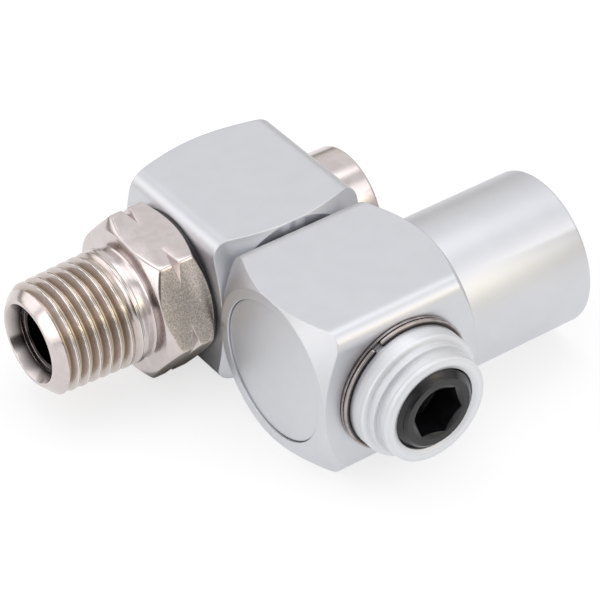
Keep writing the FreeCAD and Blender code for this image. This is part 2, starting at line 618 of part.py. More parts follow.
def helical_groove(body, name):
    """Cut the taper thread: its valley's section, carried from beyond the tip along a conical helix to the neck."""
    sketch = new_sketch(body, name + "_section", "XZ_Plane")
    floor = "valley_crest - thread_depth"
    mouth = "valley_crest + thread_overcut"
    draw_outline(sketch, [("-valley_place - valley_half", floor), ("-valley_place + valley_half", floor),
                          ("-valley_place + mouth_half", mouth), ("-valley_place - mouth_half", mouth)])
    groove = body.newObject("PartDesign::SubtractiveHelix", name)
    groove.Profile = sketch
    groove.ReferenceAxis = (sketch, ["H_Axis"])
    groove.Mode = "pitch-height-angle"
    groove.setExpression("Pitch", bound("thread_pitch"))
    groove.setExpression("Height", bound("valley_place - thread_start - thread_runout"))
    groove.setExpression("Angle", bound("atan(1 / (2 * thread_taper))"))
    return checked(body, groove, True)


def build_male_adaptor():
    """Hexagon with a taper-threaded spigot and an internal cone seat, held on the pin's stub."""
    body = new_body("male_adaptor")
    prism(body, "hexagon", "YZ_Plane", hexagon_section("hex_flats", "(90 + hex_turn)"), "-hex_end",
          "-pin_shoulder")
    rounded(body, "hexagon_corners", straight_along(ALONG_X), "hex_corner_round")
    bevel_end(body, "back_bevel", "x", "-pin_shoulder", "hex_back_radius", "hex_bevel_angle", "-")
    bevel_end(body, "front_bevel", "x", "-hex_end", "hex_front_radius", "hex_bevel_angle", "+")
    groove = "-pin_shoulder - hex_groove_place"
    reach = "(hex_flats - hex_groove_radius)"
    turned(body, "corner_groove", "x",
           [(groove, "hex_groove_radius"), (f"{groove} + {reach} / 2", "hex_flats"),
            (f"{groove} - {reach} / 2", "hex_flats")], True)
    turned(body, "spigot", "x",
           [("-hex_end + relief_length", "0"), ("-hex_end + relief_length", "relief_radius"),
            ("-thread_start", "relief_radius"), ("-thread_start", "crest_at_start"),
            ("-valley_place - thread_pitch", "valley_crest - thread_pitch / (2 * thread_taper)"),
            ("-valley_place - thread_pitch", "0")])
    rounded(body, "neck_root", circle_at(ALONG_X, "-hex_end", "relief_radius"), "relief_root_round")
    helical_groove(body, "thread")
    above_bevel = "(2 * crest_at_end - tip_face_radius)"
    turned(body, "tip", "x",
           [("-thread_end + tip_bevel_length", above_bevel), ("-tip_bevel_end", "tip_face_radius"),
            ("-tip_end", "lip_radius"), ("-tip_end", "0"), ("-valley_place - 2 * thread_pitch", "0"),
            ("-valley_place - 2 * thread_pitch", above_bevel)], True)
    turned(body, "bore", "x",
           [("-tip_end", "0"), ("-tip_end", "seat_rim_radius"), ("-seat_floor_place", "seat_floor_radius"),
            ("-seat_land_place", "seat_floor_radius"), ("-seat_land_place", "adaptor_bore_radius"),
            ("-stub_hole_end", "adaptor_bore_radius"), ("-stub_hole_end", "stub_hole_radius"),
            ("-pin_shoulder - adaptor_seal_depth", "stub_hole_radius"),
            ("-pin_shoulder - adaptor_seal_depth", "adaptor_seal_radius"),
            ("-pin_shoulder", "adaptor_seal_radius"), ("-pin_shoulder", "0")], True)
    place_at_pin(body)


def write_parts():
    """Check the whole document, then write each sub-part to its own file."""
    document.recompute()
    for item in document.Objects:
        if "Invalid" in item.State or "Error" in item.State:
            raise ValueError(f"{item.Label}: {item.State}")
    for sub_part in sub_parts:
        if sub_part.Shape.isNull() or not sub_part.Shape.isValid():
            raise ValueError(f"{sub_part.Label}: its shape is not valid")
    os.makedirs("parts", exist_ok=True)
    for sub_part in sub_parts:
        sub_part.Shape.exportStep(f"parts/{sub_part.Label}.step")
        box = sub_part.Shape.BoundBox
        print(f"{sub_part.Label}: {len(sub_part.Shape.Solids)} solid, {sub_part.Shape.Volume:.1f} mm3, "
              f"X {box.XMin:.2f} to {box.XMax:.2f}, Y {box.YMin:.2f} to {box.YMax:.2f}, "
              f"Z {box.ZMin:.2f} to {box.ZMax:.2f}")


fill_sheet()
build_outlet_block()
build_end_disc()
build_inlet_block()
build_snap_ring()
build_swivel_rings()
build_flow_screw()
build_swivel_pin()
build_pin_rings()
build_male_adaptor()
write_parts()
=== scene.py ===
"""Dressed model of a two-axis swivel connector, at the angle of its photograph.

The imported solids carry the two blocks, the pin, the rings and the seals. The threaded adaptor, the thread inside
the outlet, the flow screw and the snap ring are surfaces of their own, worked out on grids. Sizes are in
millimetres until they go into a mesh.
"""

import logging
import math
from collections.abc import Sequence
from dataclasses import dataclass, field
from enum import Enum

import bpy
import numpy as np
from mathutils import Matrix, Vector


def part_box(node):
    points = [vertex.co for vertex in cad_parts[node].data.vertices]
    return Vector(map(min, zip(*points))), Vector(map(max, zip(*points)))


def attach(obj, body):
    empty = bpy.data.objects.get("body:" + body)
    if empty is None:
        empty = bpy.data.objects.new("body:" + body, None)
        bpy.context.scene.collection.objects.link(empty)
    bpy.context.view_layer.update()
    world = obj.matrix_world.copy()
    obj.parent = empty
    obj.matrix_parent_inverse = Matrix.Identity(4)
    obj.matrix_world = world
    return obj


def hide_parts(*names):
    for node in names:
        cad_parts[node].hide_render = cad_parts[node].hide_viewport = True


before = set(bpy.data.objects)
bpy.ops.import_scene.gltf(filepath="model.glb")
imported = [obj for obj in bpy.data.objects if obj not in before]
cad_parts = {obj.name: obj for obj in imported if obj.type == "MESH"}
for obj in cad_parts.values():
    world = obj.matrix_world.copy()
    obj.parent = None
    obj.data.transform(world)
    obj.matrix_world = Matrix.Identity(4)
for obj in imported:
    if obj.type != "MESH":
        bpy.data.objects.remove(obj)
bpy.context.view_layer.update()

MM = 0.001
FULL_TURN = 2 * math.pi
SIXTH_TURN = FULL_TURN / 6
SECTOR_DEGREES = 60
SWIVEL_X = -26.3
OBJECT_MIDDLE = (-27.0, 6.5, 0.0)
TAPER_PITCH = 1.337
SECTOR_STEPS = 38
MERGE_DISTANCE = 2e-7  # metres
SHARP_ANGLE = math.radians(24)
LONGEST_REACH = 0.45
NEARLY_NOTHING = 1e-9
LOG = logging.getLogger("swivel_connector")
Triple = tuple[float, float, float]
Colour = tuple[float, float, float]
Socket = bpy.types.NodeSocket


class Body(Enum):
    """The parts of the connector that move together."""
    OUTLET = "outlet_body"
    INLET = "inlet_body"
    PIN = "pin_body"
    SCREW = "screw_body"


class Slot(Enum):
    """The record's material slots."""
    ALUMINIUM = "anodised_aluminium"
    NICKEL = "nickel_plated_steel"
    SPRING = "spring_steel"
    BLACK_STEEL = "blackened_steel"
    RUBBER = "nitrile_rubber"
    BACKUP = "backup_plastic"
    WASHER = "black_washer_plastic"


def box_in_mm(node: str) -> tuple[np.ndarray, np.ndarray]:
    """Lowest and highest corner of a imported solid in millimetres."""
    low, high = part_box(node)
    return np.array(low) / MM, np.array(high) / MM


ADAPTOR_LOW, ADAPTOR_HIGH = box_in_mm("male_adaptor")


# Surfaces


def grid_quads(stations: int, columns: int, closed: bool) -> np.ndarray:
    """Four-cornered faces of a grid whose rows are rings.

    Args:
        stations: Number of rows.
        columns: Number of points in a row.
        closed: Whether the last row joins the first one too.

    Returns:
        One row of four point numbers for each face.
    """
    row = np.arange(stations if closed else stations - 1)[:, None]
    column = np.arange(columns)[None, :]
    next_row = (row + 1) % stations
    next_column = (column + 1) % columns
    corners = (row * columns + column, row * columns + next_column,
               next_row * columns + next_column, next_row * columns + column)
    return np.stack(corners, axis=-1).reshape(-1, 4)


def enclosed_volume(points: np.ndarray, quads: np.ndarray) -> float:
    """Six times the volume inside the faces, by the sum of the corners' triple products.

    Args:
        points: Places of the points.
        quads: Point numbers of the faces.

    Returns:
        A positive number when the faces point outwards.
    """
    a, b, c, d = (points[quads[:, corner]] for corner in range(4))
    halves = np.einsum("ij,ij->i", a, np.cross(b, c)) + np.einsum("ij,ij->i", a, np.cross(c, d))
    return float(halves.sum())


def soft_step(value: np.ndarray, width: float) -> np.ndarray:
    """Value where it is positive and zero elsewhere, joined by a parabola over a width on both sides."""
    joined = (value + width) ** 2 / (4 * width)
    return np.where(value <= -width, 0.0, np.where(value >= width, value, joined))


def eased(corners: np.ndarray, reaches: tuple[float, ...], steps: int = 4) -> np.ndarray:
    """Outlines whose inner corners are rounded, one outline for each column of the grid.

    A corner gives way to the parabola that leaves its first line one reach before the corner and meets its second
    line one reach after it. The reach stays under the longest share of either line.

    Args:
        corners: Places along the axis and radii, as corners by columns by two.
        reaches: Reach at each inner corner.
        steps: Points on each curve.

    Returns:
        Stations by columns by two.
    """
    corner = corners[1:-1]
    back = corners[:-2] - corner
    ahead = corners[2:] - corner
    back_length = np.linalg.norm(back, axis=-1, keepdims=True)
    ahead_length = np.linalg.norm(ahead, axis=-1, keepdims=True)
    reach = np.minimum(np.array(reaches)[:, None, None], LONGEST_REACH * np.minimum(back_length, ahead_length))
    start = corner + back / np.maximum(back_length, NEARLY_NOTHING) * reach
    end = corner + ahead / np.maximum(ahead_length, NEARLY_NOTHING) * reach
    share = np.linspace(0.0, 1.0, steps)[None, :, None, None]
    curve = ((1 - share) ** 2 * start[:, None] + 2 * share * (1 - share) * corner[:, None]
             + share ** 2 * end[:, None])
    return np.concatenate([corners[:1], curve.reshape(-1, *corner.shape[1:]), corners[-1:]])


def outline(rows: Sequence[tuple], columns: int) -> np.ndarray:
    """Corners by columns by two, from rows of a place and a radius that are numbers or one value per column."""
    return np.array([[np.broadcast_to(value, columns) for value in row] for row in rows]).transpose(0, 2, 1)


@dataclass(frozen=True)
class TurningFrame:
    """Where a turned shape stands: a point on its axis and the three directions of its grid."""
    origin: Triple
    along: Triple
    across: Triple
    upward: Triple = (0.0, 0.0, 1.0)

    @classmethod
    def inward(cls, *origin: float) -> "TurningFrame":
        """The frame that runs along -X from a point."""
        return cls(origin, (-1.0, 0.0, 0.0), (0.0, 1.0, 0.0))

    @classmethod
    def on_swivel(cls, y: float) -> "TurningFrame":
        """The frame that runs along the swivel's axis towards the knob, from a place on it."""
        return cls((SWIVEL_X, y, 0.0), (0.0, -1.0, 0.0), (1.0, 0.0, 0.0))

    def points(self, place: np.ndarray, radius: np.ndarray, angle: np.ndarray) -> np.ndarray:
        """Points at a place along the axis, a radius from it and an angle round it.

        Args:
            place: Places along the axis.
            radius: Distances from the axis.
            angle: Angles from the across direction towards the upward one.

        Returns:
            One row of three coordinates for each point.
        """
        axis, across, upward = (np.array(row) for row in (self.along, self.across, self.upward))
        place, radius, angle = (array[..., None] for array in np.broadcast_arrays(place, radius, angle))
        spots = np.array(self.origin) + place * axis + radius * (np.cos(angle) * across + np.sin(angle) * upward)
        return spots.reshape(-1, 3)


@dataclass(frozen=True)
class ScrewThread:
    """Right-hand thread: its pitch, the angle between its flanks and the share cut from both tips of its triangle."""
    tip_round: float
    pitch: float = TAPER_PITCH
    flank_angle: float = 55.0
    cut: float = 1 / 6

    @property
    def triangle(self) -> float:
        """Height of the sharp triangle."""
        return self.pitch / 2 / math.tan(math.radians(self.flank_angle / 2))

    @property
    def depth(self) -> float:
        """Height of the thread from valley to crest."""
        return self.triangle * (1 - 2 * self.cut)

    def height(self, place: np.ndarray, angle: np.ndarray) -> np.ndarray:
        """Height over the valley: a triangle wave of the place plus the share of a turn, cut flat at both tips.

        Args:
            place: Places along the axis.
            angle: Angles round it.

        Returns:
            Heights from zero to the depth.
        """
        phase = (place / self.pitch + angle / FULL_TURN) % 1.0
        wave = (1 - np.abs(2 * phase - 1)) * self.triangle - self.triangle * self.cut
        return soft_step(wave, self.tip_round) - soft_step(wave - self.depth, self.tip_round)


# Nodes

EDGE_BAND = (0.995, 0.88)
EDGE_SAMPLES = 6
FINE_LAYERS = 3.0


class NodeBoard:
    """A node tree, with short calls for the nodes that the finishes and the sky share."""

    def __init__(self, tree: bpy.types.NodeTree) -> None:
        """Work in one tree."""
        self.tree = tree

    def add(self, kind: str, **settings: object) -> bpy.types.Node:
        """Add a node and set its options.

        Args:
            kind: Blender's name of the node.
            settings: Options by name.

        Returns:
            The node.
        """
        node = self.tree.nodes.new(kind)
        for name, value in settings.items():
            setattr(node, name, value)
        return node

    def feed(self, socket: Socket, value: object) -> None:
        """Link a socket to an input, or set the input's own value."""
        if isinstance(value, bpy.types.NodeSocket):
            self.tree.links.new(value, socket)
        else:
            socket.default_value = value

    def step(self, kind: str, operation: str, first: object, second: object) -> bpy.types.Node:
        """One step of arithmetic.

        Args:
            kind: Blender's name of the node.
            operation: Blender's name of the step.
            first: First number, vector or socket.
            second: Second number, vector or socket.

        Returns:
            The node.
        """
        node = self.add(kind, operation=operation)
        self.feed(node.inputs[0], first)
        self.feed(node.inputs[1], second)
        return node

    def math(self, operation: str, first: object, second: object = 0.0) -> Socket:
        """One step of arithmetic on numbers."""
        return self.step("ShaderNodeMath", operation, first, second).outputs[0]

    def vector(self, operation: str, first: object, second: object = (0.0, 0.0, 0.0)) -> Socket:
        """One step of arithmetic on vectors. A length or a dot product is a number."""
        outputs = self.step("ShaderNodeVectorMath", operation, first, second).outputs
        return outputs["Value" if operation in ("LENGTH", "DOT_PRODUCT") else "Vector"]

    def split(self, vector: Socket) -> tuple[Socket, Socket, Socket]:
        """The three coordinates of a vector."""
        node = self.add("ShaderNodeSeparateXYZ")
        self.feed(node.inputs[0], vector)
        return tuple(node.outputs)

    def ramp(self, value: Socket, low: float, high: float) -> Socket:
        """Smooth rise from 0 to 1 while a value goes from low to high.

        Args:
            value: The value.
            low: Where the rise starts.
            high: Where it ends, which may be less than low.

        Returns:
            A number from 0 to 1.
        """
        node = self.add("ShaderNodeMapRange", interpolation_type="SMOOTHSTEP")
        self.feed(node.inputs["Value"], value)
        node.inputs["From Min"].default_value = low
        node.inputs["From Max"].default_value = high
        return node.outputs["Result"]

    def mixed(self, share: object, first: object, second: object) -> Socket:
        """Blend of two colours.

        Args:
            share: Share of the second one.
            first: First colour or socket.
            second: Second colour or socket.

        Returns:
            The blended colour.
        """
        node = self.add("ShaderNodeMix", data_type="RGBA")
        self.feed(node.inputs[0], share)
        for socket, colour in ((node.inputs[6], first), (node.inputs[7], second)):
            self.feed(socket, colour if isinstance(colour, bpy.types.NodeSocket) else (*colour, 1.0))
        return node.outputs[2]

    def seen_by_lens(self) -> Socket:
        """1 for what the lens sees straight, else 0."""
        return self.add("ShaderNodeLightPath").outputs["Is Camera Ray"]


class SurfaceBoard(NodeBoard):
    """One material's node tree, which starts from the plain surface shader."""

    def __init__(self, name: str) -> None:
        """Make the material and read the piece's own coordinates, in millimetres."""
        self.material = bpy.data.materials.new(name)
        self.material.use_nodes = True
        super().__init__(self.material.node_tree)
        self.surface = self.tree.nodes["Principled BSDF"]
        own = self.add("ShaderNodeTexCoord").outputs["Object"]
        self.place = self.vector("MULTIPLY", own, (1 / MM,) * 3)

    def noise(self, size: float, detail: float = 2.0, place: Socket | None = None) -> Socket:
        """Soft random pattern.

        Args:
            size: Width of one patch in millimetres.
            detail: Finer layers on top.
            place: Where to read it, else the piece's own coordinates.

        Returns:
            A number from 0 to 1.
        """
        node = self.add("ShaderNodeTexNoise")
        self.feed(node.inputs["Vector"], place or self.place)
        node.inputs["Scale"].default_value = 1 / size
        node.inputs["Detail"].default_value = detail
        return node.outputs["Fac"]

    def swing(self, middle: float, width: float, pattern: Socket) -> Socket:
        """A number that varies about a middle, by a width between a pattern's 0 and its 1."""
        return self.math("ADD", self.math("MULTIPLY", pattern, width), middle - width / 2)

    def turning(self, centre: Triple, axis: Triple, size: float) -> Socket:
        """Fine rings round an axis, as a lathe leaves them.

        Args:
            centre: A point on the axis.
            axis: Direction of the axis.
            size: Width of one ring in millimetres.

        Returns:
            A number from 0 to 1.
        """
        off = self.vector("SUBTRACT", self.place, centre)
        along = self.vector("DOT_PRODUCT", off, axis)
        square = self.math("SUBTRACT", self.vector("DOT_PRODUCT", off, off), self.math("MULTIPLY", along, along))
        radius = self.math("SQRT", self.math("MAXIMUM", square, 0.0))
        profile = self.add("ShaderNodeCombineXYZ")
        self.feed(profile.inputs["X"], along)
        self.feed(profile.inputs["Y"], radius)
        return self.noise(size, FINE_LAYERS, profile.outputs["Vector"])

    def attribute(self, name: str) -> Socket:
        """A number kept on the piece's own points, or 0 where the piece has none."""
        return self.add("ShaderNodeAttribute", attribute_name=name).outputs["Fac"]

    def soft_edge(self, radius: float) -> tuple[Socket, Socket]:
        """Direction of the surface with its edges rounded, and how near to an edge a spot is.

        Args:
            radius: Round of the edges in millimetres.

        Returns:
            The rounded direction and a number from 0 to 1.
        """
        bevel = self.add("ShaderNodeBevel", samples=EDGE_SAMPLES)
        bevel.inputs["Radius"].default_value = radius * MM
        flat = self.add("ShaderNodeNewGeometry").outputs["Normal"]
        agreement = self.vector("DOT_PRODUCT", bevel.outputs["Normal"], flat)
        return bevel.outputs["Normal"], self.ramp(agreement, *EDGE_BAND)

    def relief(self, patterns: list[tuple[Socket, float]], direction: Socket) -> Socket:
        """Surface direction tilted by the sum of patterns.

        Args:
            patterns: Each pattern with its depth in millimetres.
            direction: Direction of the surface before that.

        Returns:
            The tilted direction.
        """
        height = None
        for pattern, depth in patterns:
            part = self.math("MULTIPLY", pattern, depth)
            height = part if height is None else self.math("ADD", height, part)
        bump = self.add("ShaderNodeBump")
        bump.inputs["Distance"].default_value = MM
        self.feed(bump.inputs["Height"], height)
        self.feed(bump.inputs["Normal"], direction)
        return bump.outputs["Normal"]


# Pieces


def smoothing_group() -> bpy.types.GeometryNodeTree:
    """Node group that joins equal points and shades every edge smooth, apart from those that turn sharply.

    Returns:
        The group, for a nodes modifier.
    """
    group = bpy.data.node_groups.new("smooth_faces", "GeometryNodeTree")
    for way in ("INPUT", "OUTPUT"):
        group.interface.new_socket("Geometry", in_out=way, socket_type="NodeSocketGeometry")
    board = NodeBoard(group)
    merge = board.add("GeometryNodeMergeByDistance")
    board.feed(merge.inputs["Distance"], MERGE_DISTANCE)
    faces = board.add("GeometryNodeSetShadeSmooth")
    edges = board.add("GeometryNodeSetShadeSmooth", domain="EDGE")
    turn = board.add("GeometryNodeInputMeshEdgeAngle").outputs["Unsigned Angle"]
    gentle = board.step("FunctionNodeCompare", "LESS_THAN", turn, SHARP_ANGLE)
    board.feed(edges.inputs["Shade Smooth"], gentle.outputs["Result"])
    geometry = board.add("NodeGroupInput").outputs[0]
    for node in (merge, faces, edges):
        board.feed(node.inputs["Geometry"], geometry)
        geometry = node.outputs["Geometry"]
    board.feed(board.add("NodeGroupOutput").inputs[0], geometry)
    return group


SMOOTHING = smoothing_group()


def smoothed(piece: bpy.types.Object) -> None:
    """Give a piece the smoothing group as its modifier."""
    piece.modifiers.new("smooth_faces", "NODES").node_group = SMOOTHING


def new_piece(name: str, points: np.ndarray, quads: np.ndarray,
              zones: dict[str, np.ndarray] | None = None) -> bpy.types.Object:
    """Mesh object of a closed grid, with its faces turned outwards.

    Args:
        name: Name of the piece.
        points: Places in millimetres.
        quads: Point numbers of the faces.
        zones: Numbers from 0 to 1 for each point, by the name that a finish reads.

    Returns:
        The object, at the origin.
    """
    if enclosed_volume(points, quads) < 0:
        quads = quads[:, ::-1]
    mesh = bpy.data.meshes.new(name)
    mesh.from_pydata(points * MM, [], quads)
    for zone, values in (zones or {}).items():
        layer = mesh.attributes.new(zone, "FLOAT", "POINT")
        layer.data.foreach_set("value", values.astype(np.float32).ravel())
    piece = bpy.data.objects.new(name, mesh)
    bpy.context.scene.collection.objects.link(piece)
    smoothed(piece)
    LOG.info("%s: %d points, %d faces", name, len(points), len(quads))
    return piece


def dressed(piece: bpy.types.Object, material: bpy.types.Material) -> None:
    """Put a material in every slot of a piece, and make a slot where it has none."""
    if not piece.material_slots:
        piece.data.materials.append(material)
    for place in piece.material_slots:
        place.material = material


# Finishes

# Colour of the painted shade in bores and in corners beside other parts.
PAINTED_SHADE: Colour = (0.03, 0.026, 0.024)
MOTTLE_BAND = (0.3, 0.7)


@dataclass
class Look:
    """A finish so far: its colour, its roughness, and its patterns with their depths in millimetres."""
    colour: Socket
    gloss_loss: Socket
    reliefs: list[tuple[Socket, float]]


@dataclass(frozen=True, kw_only=True)
class Finish:
    """A finish with mottled colour, fine grain, uneven gloss and softened edges with a painted highlight along them.
    Lengths are in millimetres.

    It takes a painted shade where a piece's own points say "inside", as in a bore or in the corner beside another
    part.
    """
    slot: Slot
    light: Colour
    dark: Colour
    # edge is the colour of the painted highlight along edges; the turned knob also takes it as its own lighter tone.
    edge: Colour
    edge_round: float = 0.05
    edge_share: float = 0.4
    metallic: float = 0.0
    gloss_loss: float
    gloss_swing: float = 0.1
    grain: float
    grain_depth: float = 0.004
    mottle: float = 1.0

    def material(self) -> bpy.types.Material:
        """Work the finish out in nodes.

        Returns:
            The material.
        """
        board = SurfaceBoard(self.slot.value)
        inputs = board.surface.inputs
        mottling = board.noise(self.mottle, FINE_LAYERS)
        grain = board.noise(self.grain)
        direction, edge = board.soft_edge(self.edge_round)
        colour = board.mixed(board.ramp(mottling, *MOTTLE_BAND), self.dark, self.light)
        # Painted highlight: near an edge the colour goes towards the lighter edge colour.
        colour = board.mixed(board.math("MULTIPLY", edge, self.edge_share), colour, self.edge)
        look = Look(colour, board.swing(self.gloss_loss, self.gloss_swing, mottling), [(grain, self.grain_depth)])
        self.detail(board, look)
        # Painted shade: where the points say "inside", the colour goes towards the shade colour.
        board.feed(inputs["Base Color"], board.mixed(board.attribute("inside"), look.colour, PAINTED_SHADE))
        board.feed(inputs["Metallic"], self.metallic)
        board.feed(inputs["Roughness"], look.gloss_loss)
        board.feed(inputs["Normal"], board.relief(look.reliefs, direction))
        return board.material

    def detail(self, board: SurfaceBoard, look: Look) -> None:
        """Change the look as a special finish does. A plain one leaves it.

        Args:
            board: The material's nodes.
            look: The finish so far.
        """


@dataclass(frozen=True, kw_only=True)
class TurnedAluminium(Finish):
    """Anodised aluminium with lathe rings on the spindle's knob and, fainter, on the end disc."""
    swivel_centre: Triple
    knob_start: float
    disc_face: float
    knob_fade: float = 0.3
    disc_fade: tuple[float, float] = (0.25, 0.1)
    ring_width: float = 0.16
    ring_depth: float = 0.0045
    disc_ring_depth: float = 0.0012
    knob_share: float = 0.9
    knob_gloss_loss: float = 0.14
    worn_band: tuple[float, float] = (0.45, 0.65)
    worn_share: float = 0.35

    def detail(self, board: SurfaceBoard, look: Look) -> None:
        """Rings on the knob, which lies beyond a place along the swivel, and on the disc. See the base class."""
        x, y, _ = board.split(board.place)
        knob = board.ramp(y, self.knob_start, self.knob_start - self.knob_fade)
        disc = board.ramp(x, *(self.disc_face + fade for fade in self.disc_fade))
        rings = board.turning(self.swivel_centre, (0.0, 1.0, 0.0), self.ring_width)
        disc_rings = board.turning((0.0, 0.0, 0.0), (1.0, 0.0, 0.0), self.ring_width)
        look.reliefs += [(board.math("MULTIPLY", rings, knob), self.ring_depth),
                         (board.math("MULTIPLY", disc_rings, disc), self.disc_ring_depth)]
        worn = board.math("MULTIPLY", knob, board.ramp(rings, *self.worn_band))
        for zone, share, tone in ((knob, self.knob_share, self.edge), (worn, self.worn_share, self.dark)):
            look.colour = board.mixed(board.math("MULTIPLY", zone, share), look.colour, tone)
        look.gloss_loss = board.math("ADD", look.gloss_loss, board.math("MULTIPLY", knob, self.knob_gloss_loss))


@dataclass(frozen=True, kw_only=True)
class PlatedSteel(Finish):
    """Nickel plate: a painted brown shade in the thread's valleys, which are dull too, a painted highlight along the
    crests with a painted dark line down their middle, grainy on the cut flats.
    """
    axis_y: float
    start_x: float
    pitch: float = TAPER_PITCH
    # valley is the colour of the painted shade in the valleys; crest and line are the painted highlight on the crests
    # and the painted dark line down their middle.
    valley: Colour = (0.45, 0.37, 0.29)
    valley_gloss_loss: float = 0.14
    crest: Colour = (0.84, 0.79, 0.73)
    crest_half: float = 0.16
    line: Colour = (0.12, 0.09, 0.07)
    line_half: float = 0.03
    line_fade: float = 1.5
    flat: Colour = (0.80, 0.73, 0.65)
    flat_gloss_loss: float = 0.12
    pit: Colour = (0.48, 0.42, 0.36)
    pit_size: float = 0.15
    pit_layers: float = 4.0
    pit_band: tuple[float, float] = (0.35, 0.65)
    pit_depth: float = 0.006

    def detail(self, board: SurfaceBoard, look: Look) -> None:
        """Colours by the zones valley, threaded and flat on the piece's points: painted shade in the valleys, a
        painted highlight and a painted dark line on the crests, grain on the flats. See the base class.

        The number of turns up to a spot is the share of a turn plus the way along the axis over the pitch. Its
        fraction is 0.5 on the middle of a crest.
        """
        valley, threaded, flat = (board.attribute(zone) for zone in ("valley", "threaded", "flat"))
        x, y, z = board.split(board.place)
        angle = board.math("ARCTAN2", z, board.math("SUBTRACT", y, self.axis_y))
        along = board.math("SUBTRACT", self.start_x, x)
        turns = board.math("ADD", board.math("DIVIDE", angle, FULL_TURN), board.math("DIVIDE", along, self.pitch))
        off_middle = board.math("ABSOLUTE", board.math("SUBTRACT", board.math("FRACT", turns), 0.5))
        off_crest = board.math("MULTIPLY", off_middle, self.pitch)
        # Painted highlight along each crest, with a painted dark line down its middle.
        crest = board.math("MULTIPLY", board.ramp(off_crest, self.crest_half, self.crest_half / 2), threaded)
        line = board.math("MULTIPLY", board.ramp(off_crest, self.line_half * self.line_fade, self.line_half), threaded)
        pits = board.noise(self.pit_size, self.pit_layers)
        pitted = board.mixed(board.ramp(pits, *self.pit_band), self.flat, self.pit)
        # Painted brown shade in the valleys, deeper towards their floor.
        for share, tone in ((valley, self.valley), (crest, self.crest), (line, self.line), (flat, pitted)):
            look.colour = board.mixed(share, look.colour, tone)
        for share, loss in ((flat, self.flat_gloss_loss), (valley, self.valley_gloss_loss)):
            look.gloss_loss = board.math("ADD", look.gloss_loss, board.math("MULTIPLY", share, loss))
        look.reliefs.append((board.math("MULTIPLY", flat, pits), self.pit_depth))


PHOTO_FINISHES = (
    TurnedAluminium(
        slot=Slot.ALUMINIUM, light=(0.655, 0.663, 0.69), dark=(0.64, 0.648, 0.675), edge=(0.78, 0.79, 0.81),
        edge_round=0.16, edge_share=0.5, metallic=1.0, gloss_loss=0.42, gloss_swing=0.04, grain=0.16,
        grain_depth=0.005, mottle=2.5, swivel_centre=(SWIVEL_X, 0.0, 0.0), knob_start=-10.8, disc_face=-36.1),
    PlatedSteel(
        slot=Slot.NICKEL, light=(0.66, 0.60, 0.59), dark=(0.62, 0.56, 0.545), edge=(0.86, 0.82, 0.79),
        edge_share=0.5, metallic=1.0, gloss_loss=0.2, gloss_swing=0.08, grain=0.12, grain_depth=0.002, mottle=1.2,
        start_x=ADAPTOR_HIGH[0], axis_y=(ADAPTOR_LOW[1] + ADAPTOR_HIGH[1]) / 2),
    Finish(slot=Slot.SPRING, light=(0.46, 0.42, 0.41), dark=(0.34, 0.305, 0.295), edge=(0.70, 0.67, 0.66),
           edge_round=0.08, metallic=1.0, gloss_loss=0.24, grain=0.2, grain_depth=0.003, mottle=0.9),
    Finish(slot=Slot.BLACK_STEEL, light=(0.009, 0.008, 0.010), dark=(0.005, 0.005, 0.006),
           edge=(0.03, 0.028, 0.03), edge_round=0.1, gloss_loss=0.24, grain=0.18),
    Finish(slot=Slot.RUBBER, light=(0.020, 0.020, 0.021), dark=(0.012, 0.012, 0.013), edge=(0.03, 0.03, 0.03),
           edge_share=0.3, gloss_loss=0.55, grain=0.15),
    Finish(slot=Slot.BACKUP, light=(0.80, 0.79, 0.75), dark=(0.72, 0.71, 0.67), edge=(0.85, 0.84, 0.80),
           edge_share=0.3, gloss_loss=0.45, grain=0.25, grain_depth=0.003, mottle=1.2),
    Finish(slot=Slot.WASHER, light=(0.030, 0.030, 0.032), dark=(0.018, 0.018, 0.020), edge=(0.07, 0.07, 0.075),
           edge_round=0.06, gloss_loss=0.45, gloss_swing=0.12, grain=0.12, grain_depth=0.006, mottle=0.8),
)


class FinishShelf:
    """One material for each slot of the record."""

    def __init__(self) -> None:
        """Make every material once."""
        self.materials = {finish.slot: finish.material() for finish in PHOTO_FINISHES}

    def carried(self, slot: Slot, *nodes: str) -> None:
        """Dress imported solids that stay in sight.

        Args:
            slot: The slot that they take their finish from.
            nodes: Names of the solids.
        """
        for name in nodes:
            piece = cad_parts[name]
            dressed(piece, self.materials[slot])
            smoothed(piece)
            LOG.info("%s: packed solid in %s", name, slot.value)

    def made(self, piece: bpy.types.Object, slot: Slot, body: Body, *nodes: str) -> None:
        """Dress a new piece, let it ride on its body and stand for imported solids.

        Args:
            piece: The new piece.
            slot: The slot that it takes its finish from.
            body: The body that carries it.
            nodes: Names of the solids that it stands for.
        """
        dressed(piece, self.materials[slot])
        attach(piece, body.value)
        if nodes:
            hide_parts(*nodes)


# Sub-assemblies


def hexagon_angles(corner: float, corner_half: float) -> np.ndarray:
    """Angles round a hexagon, a degree or two apart, with more of them near each corner.

    Args:
        corner: Angle of the first corner in degrees.
        corner_half: Half of the angle that a corner's round takes.

    Returns:
        The angles in radians.
    """
    near = np.array([0.0, corner_half / 2, corner_half])
    between = np.linspace(corner_half, SECTOR_DEGREES - corner_half, SECTOR_STEPS)[1:-1]
    steps = np.concatenate([near, between, SECTOR_DEGREES - near[:0:-1]])
    return np.radians((corner + SECTOR_DEGREES * np.arange(6)[:, None] + steps[None, :]).ravel())


